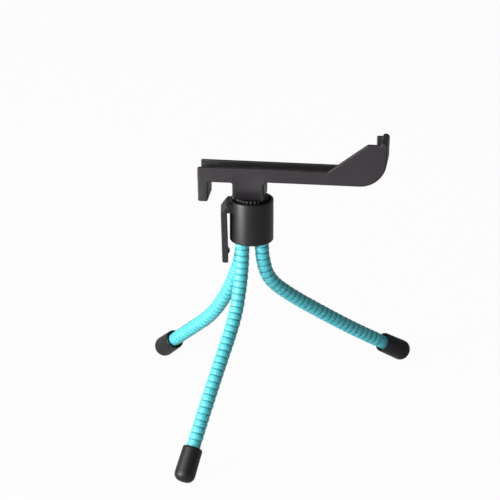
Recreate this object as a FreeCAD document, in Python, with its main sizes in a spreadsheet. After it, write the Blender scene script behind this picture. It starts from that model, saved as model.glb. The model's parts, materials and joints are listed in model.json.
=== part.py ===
import FreeCAD, Part
import math
import os
import Sketcher

# Mini tripod: a hub with three bendable ribbed legs, a belt clip on the hub's side, and a long channel
# cradle that screws on the hub's stud. The head is drawn in the hub's own frame: Z along the hub,
# zero at its lower end, X along the cradle. The legs decide how that frame stands on the floor.

doc = FreeCAD.newDocument("MiniTripod")
sheet = doc.addObject("Spreadsheet::Sheet", "Sizes")

# Driving dimensions, in millimetres and degrees.
sizes = {
    "hubRadius": 8.85, "hubHeight": 17.6, "hubEdge": 0.7, "hubRim": 0.2, "shellBore": 7.95,
    "cupRadius": 7.85, "cupFloor": 14.8, "cupFloorThickness": 0.8, "cupFloorHole": 5.7,
    "coreBottom": 0.3, "fitGap": 0.02, "runningGap": 0.05, "endGap": 0.3,
    "studRadius": 3.175, "studHeight": 25.1, "studPoint": 0.7, "studRoom": 1.2, "headBottom": 7.4,
    "headHeight": 3.2,
    "headRadius": 5.4,
    "ringBottom": 15.6, "ringBandTop": 17.1, "ringTop": 18.6, "ringRadius": 6.9, "knurlDepth": 0.35,
    "knurlTeeth": 26, "washerRadius": 5.2, "washerThickness": 0.4,
    "clipWidth": 10.0, "clipPivotX": -10.0, "clipPivotZ": 15.0, "clipBead": 1.1, "clipOuterX": -12.3,
    "clipThickness": 2.25, "clipElbowZ": 12.9, "clipLean": 0.6, "clipBottomZ": -8.3, "clipNubZ": -5.0,
    "clipNub": 0.8, "clipNubWidth": 3.0, "clipTurn": 7.0, "clipNubRise": 1.0, "clipRootRise": 0.95, "clipRootFront": 0.3, "clipRootBack": 0.25,
    "clipElbow": 0.6, "lugTop": 16.6, "lugBottom": 12.9, "lugRoot": 2.0,
    "neckBottom": 19.1, "neckLeft": -7.2, "neckRight": 5.7, "neckDepth": 12.4, "neckEdge": 1.2,
    "shelfBottom": 26.7, "shelfThickness": 2.0, "plateTop": 32.6, "cradleLeft": -21.3,
    "cradleRight": 54.6, "cornerRadius": 11.0, "wallThickness": 2.4, "wallTop": 45.6, "wallDraft": 0.4,
    "wallEdge": 1.4,
    "channelWidth": 9.6, "plateThickness": 1.5, "lipThickness": 1.3, "lipHeight": 2.8,
    "gussetStart": 31.1, "gussetEnd": 47.1, "gussetTop": 44.6,
    "footRight": -17.0, "footBottom": 17.8, "footDraft": 0.3, "footEdge": 0.5,
    "insertRadius": 4.2, "insertLength": 7.0, "padThickness": 0.8, "padInset": 0.6, "floorPadStart": 2.0,
    "endPadRise": 0.3, "endPadDrop": 4.2,
    "frontExitX": -3.36, "frontExitY": -3.53, "rightExitX": 4.17, "rightExitY": 0.51, "leftExitX": -4.15,
    "leftExitY": 2.61,
    "ribPitch": 2.75, "ribRadius": 2.8, "ribLip": 2.92, "grooveRadius": 2.5, "grooveWidth": 0.24,
    "ribRamp": 0.22, "sheathBore": 2.1, "ballRadius": 3.05, "jointOffset": 0.92, "wireRadius": 1.1,
    "wireBendRun": 1.6, "wireBendRadius": 4.5, "wireBendStart": 0.4, "wireEndGap": 1.5, "wireTopGap": 0.5,
    "ferruleRadius": 2.6, "ferruleLength": 5.5, "spigotLength": 2.4,
    "legLength": 102.8, "rubberLength": 14.4, "rubberRadius": 4.35, "rubberMouth": 4.05, "rubberDome": 3.2,
    "rubberEdge": 0.45,
    "rubberEndWall": 3.2, "tailGap": 0.8, "tailStart": 0.3, "plugLength": 6.0, "plugEndWall": 1.0,
}
for row, (name, number) in enumerate(sizes.items(), start=1):
    sheet.set("A%d" % row, name)
    sheet.set("B%d" % row, "%g" % number)
    sheet.setAlias("B%d" % row, name)
doc.recompute()

# The compass direction that each leg bends in, and its slope from the hub's axis along each of its
# six stretches, in the hub's frame.
legs = {
    "front": {"heading": -110.8, "slopes": (0, 8.9, 19.3, 41.2, 40.5, 37.7)},
    "right": {"heading": 38.1, "slopes": (0, 14.8, 47.9, 54.0, 55.0, 58.2)},
    "left": {"heading": 129.4, "slopes": (0, 24.6, 30.3, 40.7, 54.0, 53.5)},
}
# Where along a leg its five bends lie, as shares of its length. Each bend falls between two ribs.
bendShares = (0.08, 0.187, 0.32, 0.508, 0.721)

X = FreeCAD.Vector(1, 0, 0)
Y = FreeCAD.Vector(0, 1, 0)
Z = FreeCAD.Vector(0, 0, 1)
nodes = []


def size(name):
    """One cell of the sheet, for the shapes that are worked out here."""
    return float(getattr(sheet, name))


def ribCounts():
    """Whole ribs in each of a leg's six stretches. The last rib ends inside the foot's mouth."""
    offset, pitch = size("jointOffset"), size("ribPitch")
    length = size("legLength") + offset
    bends = [round(share * length / pitch) for share in bendShares]
    counts = [high - low for low, high in zip([0] + bends, bends)]
    rest = length - offset - bends[-1] * pitch
    counts.append(max(1, math.ceil((rest - size("rubberLength")) / pitch)))
    return counts


def legStretches(key):
    """Start point, unit direction and length of each stretch, in the hub's frame."""
    leg = legs[key]
    heading = math.radians(leg["heading"])
    start = FreeCAD.Vector(size(key + "ExitX"), size(key + "ExitY"), 0)
    lengths = [count * size("ribPitch") for count in ribCounts()[:-1]]
    lengths[0] -= size("jointOffset")
    lengths.append(size("legLength") - sum(lengths))
    stretches = []
    for length, slope in zip(lengths, leg["slopes"]):
        tilt = math.radians(slope)
        along = FreeCAD.Vector(math.sin(tilt) * math.cos(heading), math.sin(tilt) * math.sin(heading),
                               -math.cos(tilt))
        stretches.append((start, along, length))
        start = start + along * length
    return stretches


def domeReach():
    """Distance from the foot's axis to the middle of the arc that rounds its wider end."""
    dome, taper = size("rubberDome"), (size("rubberRadius") - size("rubberMouth")) / size("rubberLength")
    return size("rubberRadius") - taper * dome - dome * math.hypot(1, taper)


def lowestPoint(stretches, up):
    """The point of the domed foot that touches the floor whose normal is up."""
    start, along, length = stretches[-1]
    dome = size("rubberDome")
    centre = start + along * (length - dome)
    down = -up
    sideways = down - along * down.dot(along)
    if sideways.Length > 1e-9:
        centre = centre + sideways.normalize() * domeReach()
    return centre + down * dome


def standOnFeet():
    """Placement of the hub's frame when all three feet touch the floor."""
    up = FreeCAD.Vector(0, 0, 1)
    for step in range(12):
        front, right, left = [lowestPoint(legStretches(key), up) for key in legs]
        up = (right - front).cross(left - front).normalize()
    turn = FreeCAD.Rotation(up, Z)
    ahead = turn.multVec(X)
    turn = FreeCAD.Rotation(Z, -math.degrees(math.atan2(ahead.y, ahead.x))).multiply(turn)
    feet = [turn.multVec(lowestPoint(legStretches(key), up)) for key in legs]
    return FreeCAD.Placement(FreeCAD.Vector(0, 0, -feet[0].z), turn)


def reach(placement, axis):
    """Middle of the outermost feet and cradle corners along X or Y, before the part is centred."""
    depth = (size("channelWidth") + size("plateThickness") + size("lipThickness")) / 2
    spread = []
    for key in legs:
        start, along, length = legStretches(key)[-1]
        dome = size("rubberDome")
        for end in (length - dome, length - size("rubberLength")):
            middle = placement.multVec(start + along * end)
            tilted = placement.Rotation.multVec(along)
            width = size("rubberMouth") * math.sqrt(1 - tilted.dot(axis) ** 2)
            if end == length - dome:
                width = domeReach() * math.sqrt(1 - tilted.dot(axis) ** 2) + dome
            spread += [middle.dot(axis) - width, middle.dot(axis) + width]
    for corner in ((size("cradleRight") + size("wallDraft"), -depth, size("wallTop")),
                   (size("cradleRight") + size("wallDraft"), depth, size("wallTop")),
                   (size("cradleLeft"), -depth, size("footBottom"))):
        spread.append(placement.multVec(FreeCAD.Vector(*corner)).dot(axis))
    return (min(spread) + max(spread)) / 2


standing = standOnFeet()
head = FreeCAD.Placement(standing)
head.move(FreeCAD.Vector(-reach(standing, X), -reach(standing, Y), 0))


def finish(obj, label, placement):
    obj.Label = label
    obj.Placement = placement
    nodes.append(obj)
    return obj


def bound(kind, name, **expressions):
    """A primitive whose properties are bound to cells of the sheet."""
    obj = doc.addObject(kind, name)
    for key, expression in expressions.items():
        obj.setExpression(key, expression)
    return obj


def cylinder(name, radius, bottom, height):
    obj = bound("Part::Cylinder", name, Radius=radius, Height=height)
    obj.setExpression("Placement.Base.z", bottom)
    return obj


def box(name, left, right, front, back, bottom, top):
    obj = bound("Part::Box", name, Length="(%s) - (%s)" % (right, left), Width="(%s) - (%s)" % (back, front),
                Height="(%s) - (%s)" % (top, bottom))
    for axis, expression in zip("xyz", (left, front, bottom)):
        obj.setExpression("Placement.Base." + axis, expression)
    return obj


def crossCylinder(name, radius, x, z, width):
    """A cylinder along Y, centred on the plane y = 0."""
    obj = bound("Part::Cylinder", name, Radius=radius, Height=width)
    obj.Placement.Rotation = FreeCAD.Rotation(X, -90)
    obj.setExpression("Placement.Base.x", x)
    obj.setExpression("Placement.Base.y", "-(%s) / 2" % width)
    obj.setExpression("Placement.Base.z", z)
    return obj


def cut(name, base, tool):
    obj = doc.addObject("Part::Cut", name)
    obj.Base = base
    obj.Tool = tool
    return obj


def fuse(name, *shapes):
    obj = doc.addObject("Part::MultiFuse", name)
    obj.Shapes = list(shapes)
    obj.Refine = True
    return obj


def seated(name, obj):
    """Holds a primitive that has a place of its own, so that the whole can take the head's."""
    holder = doc.addObject("Part::Compound", name)
    holder.Links = [obj]
    return holder


def clipSide():
    """Placement that turns the clip and its lug round the hub, away from the cradle's own direction."""
    return FreeCAD.Placement(FreeCAD.Vector(0, 0, 0), FreeCAD.Rotation(Z, size("clipTurn")))


def evaluate(text):
    """The number that a cell expression has now."""
    return float(sheet.evalExpression(text.replace("Sizes.", "")))


def outline(sketch, corners):
    """Closes a polygon whose corners are pairs of expressions, each held from the origin."""
    points = [FreeCAD.Vector(evaluate(a), evaluate(b), 0) for a, b in corners]
    first = sketch.GeometryCount
    count = len(points)
    for i in range(count):
        sketch.addGeometry(Part.LineSegment(points[i], points[(i + 1) % count]))
    for i in range(count):
        sketch.addConstraint(Sketcher.Constraint("Coincident", first + i, 2, first + (i + 1) % count, 1))
    for i, (a, b) in enumerate(corners):
        for kind, expression, number in (("DistanceX", a, points[i].x), ("DistanceY", b, points[i].y)):
            index = sketch.addConstraint(Sketcher.Constraint(kind, -1, 1, first + i, 1, number))
            sketch.setExpression("Constraints[%d]" % index, expression)


def sketchOn(body, name, role, offset="0"):
    sketch = body.newObject("Sketcher::SketchObject", name)
    plane = [feature for feature in body.Origin.OriginFeatures if feature.Role == role][0]
    sketch.AttachmentSupport = (plane, [""])
    sketch.MapMode = "FlatFace"
    sketch.setExpression("AttachmentOffset.Base.z", offset)
    return sketch


def padBoth(body, name, sketch, width):
    """A pad of the sketch by the same amount to either side of its plane."""
    pad = body.newObject("PartDesign::Pad", name)
    pad.Profile = sketch
    pad.SideType = "Symmetric"
    pad.setExpression("Length", width)
    return pad


# Hub shell: a turned cup with a floor near its top, and the lug that holds the clip's bead.
def makeHubShell():
    r, h, e = "Sizes.hubRadius", "Sizes.hubHeight", "Sizes.hubEdge"
    body = doc.addObject("PartDesign::Body", "ShellBody")
    sketch = sketchOn(body, "ShellSection", "XZ_Plane")
    under = "Sizes.cupFloor - Sizes.cupFloorThickness"
    outline(sketch, [
        ("Sizes.shellBore", "0"), (r + " - " + e, "0"), (r, e), (r, h + " - Sizes.hubRim"),
        (r + " - Sizes.hubRim", h),
        ("Sizes.cupRadius", h), ("Sizes.cupRadius", "Sizes.cupFloor"), ("Sizes.cupFloorHole", "Sizes.cupFloor"),
        ("Sizes.cupFloorHole", under), ("Sizes.shellBore", under)])
    turned = body.newObject("PartDesign::Revolution", "ShellTurned")
    turned.Profile = sketch
    turned.ReferenceAxis = (sketch, ["V_Axis"])
    turned.Angle = 360
    lug = box("Lug", "Sizes.clipPivotX", "-(%s) + Sizes.lugRoot" % r, "-Sizes.clipWidth / 2", "Sizes.clipWidth / 2",
              "Sizes.lugBottom", "Sizes.lugTop")
    inside = cylinder("LugInside", "Sizes.shellBore + Sizes.endGap", "0", h)
    seat = crossCylinder("BeadSeat", "Sizes.clipBead + Sizes.runningGap", "Sizes.clipPivotX",
                         "Sizes.clipPivotZ", "Sizes.clipWidth + Sizes.lugRoot")
    lugSide = seated("LugTurned", cut("LugWithSeat", cut("LugTrimmed", lug, inside), seat))
    lugSide.Placement = clipSide()
    finish(fuse("HubShell", body, lugSide), "hub_shell", head)


# Hub core: the block inside the shell, with a socket for each leg and the stud's head moulded in.
def makeHubCore():
    top = "Sizes.cupFloor - Sizes.cupFloorThickness"
    core = cylinder("CoreBlank", "Sizes.shellBore - Sizes.fitGap", "Sizes.coreBottom", top + " - Sizes.coreBottom")
    tools = []
    for key in legs:
        socket = cylinder("Socket_" + key, "Sizes.ferruleRadius + Sizes.runningGap", "0",
                          "Sizes.ferruleLength + Sizes.endGap")
        socket.setExpression("Placement.Base.x", "Sizes.%sExitX" % key)
        socket.setExpression("Placement.Base.y", "Sizes.%sExitY" % key)
        tools.append(socket)
    tools.append(cylinder("HeadPocket", "Sizes.headRadius + Sizes.fitGap", "Sizes.headBottom - Sizes.fitGap",
                          "Sizes.headHeight + 2 * Sizes.fitGap"))
    tools.append(cylinder("ShankHole", "Sizes.studRadius + Sizes.fitGap", "Sizes.headBottom", "Sizes.hubHeight"))
    finish(cut("HubCore", core, fuse("CoreTools", *tools)), "hub_core", head)


# Mounting stud: a quarter-inch screw whose round flange is caught in the core.
def makeStud():
    flange = cylinder("StudFlange", "Sizes.headRadius", "Sizes.headBottom", "Sizes.headHeight")
    shank = cylinder("StudShank", "Sizes.studRadius", "Sizes.headBottom",
                     "Sizes.studHeight - Sizes.studPoint - Sizes.headBottom")
    point = bound("Part::Cone", "StudPoint", Radius1="Sizes.studRadius",
                  Radius2="Sizes.studRadius - Sizes.studPoint", Height="Sizes.studPoint")
    point.setExpression("Placement.Base.z", "Sizes.studHeight - Sizes.studPoint")
    finish(fuse("Stud", flange, shank, point), "mounting_stud", head)


# Lock ring: a plain band with a knurled band on top, whose flanks come from one loop.
def makeLockRing():
    teeth = int(size("knurlTeeth"))
    points = []
    for i in range(2 * teeth):
        radius = size("ringRadius") - (size("knurlDepth") if i % 2 else 0)
        angle = math.pi * i / teeth
        points.append(FreeCAD.Vector(radius * math.cos(angle), radius * math.sin(angle), size("ringBandTop")))
    points.append(points[0])
    knurl = Part.Face(Part.makePolygon(points)).extrude(Z * (size("ringTop") - size("ringBandTop")))
    band = Part.makeCylinder(size("ringRadius"), size("ringBandTop") - size("ringBottom"), Z * size("ringBottom"))
    bore = Part.makeCylinder(size("studRadius") + size("runningGap"), size("ringTop"))
    ring = doc.addObject("Part::Feature", "LockRing")
    ring.Shape = band.fuse(knurl).cut(bore)
    finish(ring, "lock_ring", head)


def makeRingWasher():
    disc = cylinder("WasherDisc", "Sizes.washerRadius", "Sizes.ringTop + Sizes.runningGap", "Sizes.washerThickness")
    hole = cylinder("WasherHole", "Sizes.studRadius + Sizes.runningGap", "0", "Sizes.studHeight")
    finish(cut("RingWasher", disc, hole), "ring_washer", head)


# Belt clip: a bead that turns in the hub's lug, a sloping bridge and a long arm with a small nub.
def makeClip():
    body = doc.addObject("PartDesign::Body", "ClipBody")
    sketch = sketchOn(body, "ClipSide", "XZ_Plane")
    px, pz, ox = "Sizes.clipPivotX", "Sizes.clipPivotZ", "Sizes.clipOuterX"
    bottom, lean, inner = "Sizes.clipBottomZ", "Sizes.clipLean", "Sizes.clipOuterX + Sizes.clipThickness"
    outline(sketch, [
        (px + " - Sizes.clipRootFront", pz + " + Sizes.clipRootRise"), (ox, "Sizes.clipElbowZ"), (ox + " + " + lean, bottom),
        (inner + " + " + lean, bottom), (inner, "Sizes.clipElbowZ - Sizes.clipElbow"),
        (px + " - Sizes.clipRootBack", pz + " - Sizes.clipRootRise")])
    padBoth(body, "ClipPad", sketch, "Sizes.clipWidth")
    nub = sketchOn(body, "ClipNubSide", "XZ_Plane")
    nubX = inner + " + Sizes.clipLean * (Sizes.clipElbowZ - Sizes.clipNubZ) / (Sizes.clipElbowZ - Sizes.clipBottomZ)"
    root = nubX + " - Sizes.clipNub"
    outline(nub, [(root, "Sizes.clipNubZ - Sizes.clipNubRise"), (nubX, "Sizes.clipNubZ - Sizes.clipNubRise"),
                  (nubX + " + Sizes.clipNub", "Sizes.clipNubZ"), (nubX, "Sizes.clipNubZ + Sizes.clipNubRise"),
                  (root, "Sizes.clipNubZ + Sizes.clipNubRise")])
    padBoth(body, "ClipNubPad", nub, "Sizes.clipNubWidth")
    bead = crossCylinder("ClipBead", "Sizes.clipBead", px, pz, "Sizes.clipWidth")
    finish(fuse("PocketClip", body, bead), "pocket_clip", head.multiply(clipSide()))


# Cradle: one moulding. A shelf that turns up into the end wall, a tall plate on one side with a
# gusset at the corner, a low lip on the other, and the neck and foot under the shelf.
def arcCorners(low, high, steps):
    """Points of the lower right corner's arc, inside the outer one by low at its start and high at its end."""
    r = "Sizes.cornerRadius"
    corners = []
    for i in range(steps + 1):
        angle = 90.0 * i / steps
        inset = "(%s) * %g + (%s) * %g" % (low, 1 - i / steps, high, i / steps)
        x = "Sizes.cradleRight - %s + (%s - (%s)) * sin(%g deg)" % (r, r, inset, angle)
        z = "Sizes.shelfBottom + %s - (%s - (%s)) * cos(%g deg)" % (r, r, inset, angle)
        corners.append((x, z))
    return corners


def makeCradle():
    body = doc.addObject("PartDesign::Body", "CradleBody")
    depth = "(Sizes.channelWidth + Sizes.plateThickness + Sizes.lipThickness)"
    plateFace = depth + " / 2"
    right, left, top = "Sizes.cradleRight", "Sizes.cradleLeft", "Sizes.wallTop"
    shelfTop = "Sizes.shelfBottom + Sizes.shelfThickness"
    band = sketchOn(body, "ShelfSection", "XZ_Plane")
    wallInside = right + " - Sizes.wallThickness"
    outline(band, [(left, "Sizes.shelfBottom")] + arcCorners("0", "0", 10)
            + [(right + " + Sizes.wallDraft", top + " - Sizes.wallEdge"),
               (right + " + Sizes.wallDraft - Sizes.wallEdge", top),
               (wallInside + " + Sizes.wallDraft / 2", top)]
            + arcCorners("Sizes.shelfThickness", "Sizes.wallThickness", 10)[::-1] + [(left, shelfTop)])
    padBoth(body, "Shelf", band, depth)
    plate = sketchOn(body, "PlateSection", "XZ_Plane", "%s - Sizes.plateThickness / 2" % plateFace)
    outline(plate, [(left, "Sizes.shelfBottom")] + arcCorners("0", "0", 10)
            + [(right, "Sizes.gussetTop"), ("Sizes.gussetEnd", "Sizes.gussetTop"),
               ("Sizes.gussetStart", "Sizes.plateTop"), (left, "Sizes.plateTop")])
    padBoth(body, "Plate", plate, "Sizes.plateThickness")
    lip = sketchOn(body, "LipSection", "XZ_Plane", "-(%s) + Sizes.lipThickness / 2" % plateFace)
    lipInset = "Sizes.shelfThickness + Sizes.lipHeight"
    outline(lip, [(left, "Sizes.shelfBottom")] + arcCorners("0", "0", 10)
            + [(right, "Sizes.gussetTop"), (right + " - (%s)" % lipInset, "Sizes.gussetTop")]
            + arcCorners(lipInset, lipInset, 10)[::-1] + [(left, "Sizes.shelfBottom + " + lipInset)])
    padBoth(body, "Lip", lip, "Sizes.lipThickness")
    foot = sketchOn(body, "FootSection", "XZ_Plane")
    outline(foot, [
        (left, shelfTop), (left + " + Sizes.footDraft", "Sizes.footBottom + Sizes.footEdge"),
        (left + " + Sizes.footDraft + Sizes.footEdge", "Sizes.footBottom"),
        ("Sizes.footRight - Sizes.footEdge", "Sizes.footBottom"),
        ("Sizes.footRight", "Sizes.footBottom + Sizes.footEdge"), ("Sizes.footRight", shelfTop)])
    padBoth(body, "Foot", foot, "Sizes.neckDepth")
    neck = sketchOn(body, "NeckSection", "XY_Plane", "Sizes.neckBottom")
    e, half = "Sizes.neckEdge", "Sizes.neckDepth / 2"
    outline(neck, [
        ("Sizes.neckLeft", "-%s + %s" % (half, e)), ("Sizes.neckLeft + " + e, "-" + half),
        ("Sizes.neckRight - " + e, "-" + half), ("Sizes.neckRight", "-%s + %s" % (half, e)),
        ("Sizes.neckRight", half), ("Sizes.neckLeft", half)])
    post = body.newObject("PartDesign::Pad", "Neck")
    post.Profile = neck
    post.setExpression("Length", "Sizes.shelfBottom + Sizes.shelfThickness / 2 - Sizes.neckBottom")
    body.Tip = post
    hole = cylinder("InsertHole", "Sizes.insertRadius + Sizes.runningGap", "0",
                    "Sizes.neckBottom + Sizes.insertLength + Sizes.endGap")
    room = cylinder("StudRoom", "Sizes.studRadius + Sizes.runningGap", "0", "Sizes.studHeight + Sizes.studRoom")
    finish(cut("Cradle", body, fuse("CradleBore", hole, room)), "cradle_body", head)


def makeInsert():
    barrel = cylinder("InsertBarrel", "Sizes.insertRadius", "Sizes.neckBottom + Sizes.runningGap",
                      "Sizes.insertLength")
    bore = cylinder("InsertBore", "Sizes.studRadius + Sizes.runningGap", "0",
                    "Sizes.neckBottom + Sizes.insertLength + Sizes.studHeight")
    finish(cut("Insert", barrel, bore), "thread_insert", head)


# Rubber strips that line the channel: along its floor, and up its end wall.
def makePads():
    shelfTop = "Sizes.shelfBottom + Sizes.shelfThickness"
    half = "(Sizes.channelWidth + Sizes.plateThickness + Sizes.lipThickness) / 2"
    front = "-%s + Sizes.plateThickness + Sizes.padInset" % half
    back = "%s - Sizes.lipThickness - Sizes.padInset" % half
    bend = "Sizes.cradleRight - Sizes.cornerRadius"
    floor = box("FloorPad", "Sizes.cradleLeft + Sizes.floorPadStart", bend, front, back, shelfTop,
                shelfTop + " + Sizes.padThickness")
    finish(seated("FloorPadSeated", floor), "floor_pad", head)
    wall = "Sizes.cradleRight - Sizes.wallThickness"
    low = "Sizes.shelfBottom + Sizes.cornerRadius + Sizes.endPadRise"
    end = box("EndPad", wall + " - Sizes.padThickness", wall, front, back, low,
              "Sizes.wallTop - Sizes.endPadDrop")
    finish(seated("EndPadSeated", end), "end_pad", head)


def along(start, direction):
    """Placement that stands local Z along a direction, in the part's frame."""
    return head.multiply(FreeCAD.Placement(start, FreeCAD.Rotation(Z, direction)))


def circle(radius, height):
    return Part.Wire(Part.Circle(Z * height, Z, radius).toShape())


def ribbedTube(first, last, count, tail):
    """Ruled loft through four circles per rib, with a straight run past the last rib up to the tail."""
    pitch = (last - first) / count
    groove, width, ramp = size("grooveRadius"), size("grooveWidth") / 2, size("ribRamp")
    rings = []
    for i in range(count):
        low = first + pitch * i + width
        high = first + pitch * (i + 1) - width
        rings += [circle(groove, low), circle(size("ribRadius"), low + ramp),
                  circle(size("ribLip"), high - ramp / 2), circle(groove, high)]
    if tail:
        rings += [circle(groove, last + size("tailStart")), circle(groove, tail)]
    return Part.makeLoft(rings, True, True)


def solidNode(label, shape, placement):
    obj = doc.addObject("Part::Feature", label)
    obj.Shape = shape
    finish(obj, label, placement)


# One leg: a crimped ferrule in the hub, six ribbed sheath stretches that meet on balls centred on
# their bends, the soft wire through them, the plug that closes the sheath, and the rubber foot.
def makeLeg(key):
    stretches = legStretches(key)
    counts = ribCounts()
    offset = size("jointOffset")
    width = size("grooveWidth") / 2
    bore = size("sheathBore")
    ball = size("ballRadius")
    tail = tailEnd(stretches)
    for i, (start, direction, length) in enumerate(stretches):
        low = 0 if i == 0 else offset
        last = i == len(stretches) - 1
        tube = ribbedTube(low, low + counts[i] * size("ribPitch"), counts[i], tail if last else 0)
        tube = tube.cut(Part.makeCylinder(bore, length + 2 * ball, Z * -ball))
        if i > 0:
            tube = tube.cut(Part.makeSphere(ball))
        solidNode("%s_sheath_%d" % (key, i + 1), tube, along(start, direction))

    start, direction, length = stretches[0]
    hole = size("wireRadius") + size("runningGap")
    sleeve = Part.makeCylinder(size("ferruleRadius"), size("ferruleLength") + width / 2, Z * -size("ferruleLength"))
    spigot = Part.makeCylinder(bore - size("fitGap"), size("spigotLength"))
    through = 2 * (size("ferruleLength") + size("spigotLength"))
    ferrule = sleeve.fuse(spigot).cut(Part.makeCylinder(hole, through, Z * -through / 2))
    solidNode(key + "_ferrule", ferrule, along(start, direction))

    solidNode(key + "_core_wire", coreWire(stretches), head)

    start, direction, length = stretches[-1]
    collar = length - size("rubberLength")
    plug = Part.makeCylinder(bore - size("fitGap"), size("plugLength"), Z * (tail - size("plugLength")))
    plug = plug.cut(Part.makeCylinder(hole, size("plugLength") - size("plugEndWall"),
                                      Z * (tail - size("plugLength"))))
    solidNode(key + "_end_plug", plug, along(start, direction))

    rubber = Part.makeCone(size("rubberMouth"), size("rubberRadius"), size("rubberLength"), Z * collar)
    rim = [edge for edge in rubber.Edges if edge.Closed and edge.CenterOfMass.z > length - 0.01]
    rubber = rubber.makeFillet(size("rubberDome"), rim)
    mouth = [edge for edge in rubber.Edges if edge.Closed and edge.CenterOfMass.z < collar + 0.01]
    rubber = rubber.makeFillet(size("rubberEdge"), mouth)
    depth = size("rubberLength") - size("rubberEndWall")
    rubber = rubber.cut(Part.makeCylinder(size("ribLip") + size("runningGap"), depth, Z * collar))
    solidNode(key + "_foot", rubber, along(start, direction))


def tailEnd(stretches):
    """Where the sheath ends inside the foot, along the last stretch."""
    return stretches[-1][2] - size("rubberEndWall") - size("tailGap")


def coreWire(stretches):
    """A round wire through the bends: straight runs joined by arcs tangent to both."""
    ends = [stretches[0][0] - stretches[0][1] * (size("ferruleLength") - size("wireTopGap"))]
    bends = [start for start, direction, length in stretches[1:]]
    start, direction, length = stretches[-1]
    ends.append(start + direction * (tailEnd(stretches) - size("wireEndGap")))
    edges = []
    at = ends[0]
    for i, bend in enumerate(bends):
        before = stretches[i][1]
        after = stretches[i + 1][1]
        turn = before.getAngle(after)
        if turn < 0.02:
            continue
        tangent = min(size("wireBendRun"),
                      size("wireBendRadius") * math.tan(turn / 2) + size("wireBendStart"))
        radius = tangent / math.tan(turn / 2)
        enter = bend - before * tangent
        leave = bend + after * tangent
        inward = (after - before).normalize()
        middle = bend + inward * (math.hypot(radius, tangent) - radius)
        edges.append(Part.LineSegment(at, enter).toShape())
        edges.append(Part.Arc(enter, middle, leave).toShape())
        at = leave
    edges.append(Part.LineSegment(at, ends[1]).toShape())
    section = Part.Wire(Part.Circle(ends[0], stretches[0][1], size("wireRadius")).toShape())
    return Part.Wire(edges).makePipeShell([section], True, False)


makeHubShell()
makeHubCore()
makeStud()
makeLockRing()
makeRingWasher()
makeClip()
makeCradle()
makeInsert()
makePads()
for legKey in legs:
    makeLeg(legKey)
doc.recompute()

for obj in doc.Objects:
    if "Invalid" in obj.State or "Error" in obj.State:
        raise RuntimeError("failed: %s %s" % (obj.Label, obj.State))
os.makedirs("parts", exist_ok=True)
for obj in nodes:
    if obj.Shape.isNull() or not obj.Shape.isValid():
        raise RuntimeError("bad shape: " + obj.Label)
for obj in nodes:
    obj.Shape.exportStep("parts/%s.step" % obj.Label)
    print("%-18s solids %d  volume %9.2f" % (obj.Label, len(obj.Shape.Solids), obj.Shape.Volume))

lean = head.Rotation.multVec(Z)
print("head leans %.2f deg along X, %.2f deg along Y" % (
    math.degrees(math.asin(lean.x)), math.degrees(math.asin(lean.y))))
print("hub axis at %.3f %.3f %.3f" % tuple(head.Base))
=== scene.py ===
import contextlib
import json
import math
import bmesh
import bpy
import numpy as np
from mathutils import Matrix, Vector


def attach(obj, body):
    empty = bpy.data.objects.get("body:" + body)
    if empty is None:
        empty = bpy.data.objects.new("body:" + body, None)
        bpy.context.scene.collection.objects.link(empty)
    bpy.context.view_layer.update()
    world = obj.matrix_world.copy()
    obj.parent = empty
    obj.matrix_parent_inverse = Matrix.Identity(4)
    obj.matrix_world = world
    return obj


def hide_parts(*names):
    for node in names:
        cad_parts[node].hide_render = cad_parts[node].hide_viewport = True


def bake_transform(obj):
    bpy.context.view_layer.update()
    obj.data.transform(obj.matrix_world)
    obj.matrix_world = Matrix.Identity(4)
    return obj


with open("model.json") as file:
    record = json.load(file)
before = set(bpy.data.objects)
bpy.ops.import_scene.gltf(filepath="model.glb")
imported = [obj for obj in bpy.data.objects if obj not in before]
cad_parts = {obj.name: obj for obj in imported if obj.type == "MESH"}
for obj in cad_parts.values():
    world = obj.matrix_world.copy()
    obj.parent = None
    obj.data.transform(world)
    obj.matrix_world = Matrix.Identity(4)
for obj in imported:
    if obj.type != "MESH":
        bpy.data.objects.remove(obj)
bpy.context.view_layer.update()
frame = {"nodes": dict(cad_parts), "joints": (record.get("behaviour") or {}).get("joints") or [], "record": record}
print("frame loaded:", len(frame["nodes"]), "nodes")

mm = 0.001
neckBottom = 19.1  # from the hub's lower end up to the cradle's turning joint
clipTurn = math.radians(7)  # the clip's side of the hub, turned against the cradle
rightward, upward = np.eye(3)[[0, 2]]
jointOf = {joint["name"]: joint for joint in frame["joints"]}

# The head's own frame: z along the hub from its lower end, x along the cradle, y away from the tall plate.
headUp = np.array(jointOf["cradle_turn"]["axis"])
clipAxis = np.array(jointOf["clip_flex"]["axis"])
headBack = math.cos(clipTurn) * clipAxis + math.sin(clipTurn) * np.cross(clipAxis, headUp)
headAxes = np.array([np.cross(headBack, headUp), headBack, headUp])
headOrigin = np.array(jointOf["cradle_turn"]["pos_m"]) - headUp * neckBottom * mm


def fromHead(points):
    # millimetres in the head's frame to metres in the scene: origin + points times the three axes
    return headOrigin + np.asarray(points, float) * mm @ headAxes


def clipSide(points):
    # turned about the hub's axis: (x cos - y sin, x sin + y cos, z)
    x, y, z = np.moveaxis(np.asarray(points, float), -1, 0)
    return np.stack([x * math.cos(clipTurn) - y * math.sin(clipTurn),
                     x * math.sin(clipTurn) + y * math.cos(clipTurn), z], -1)


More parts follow.
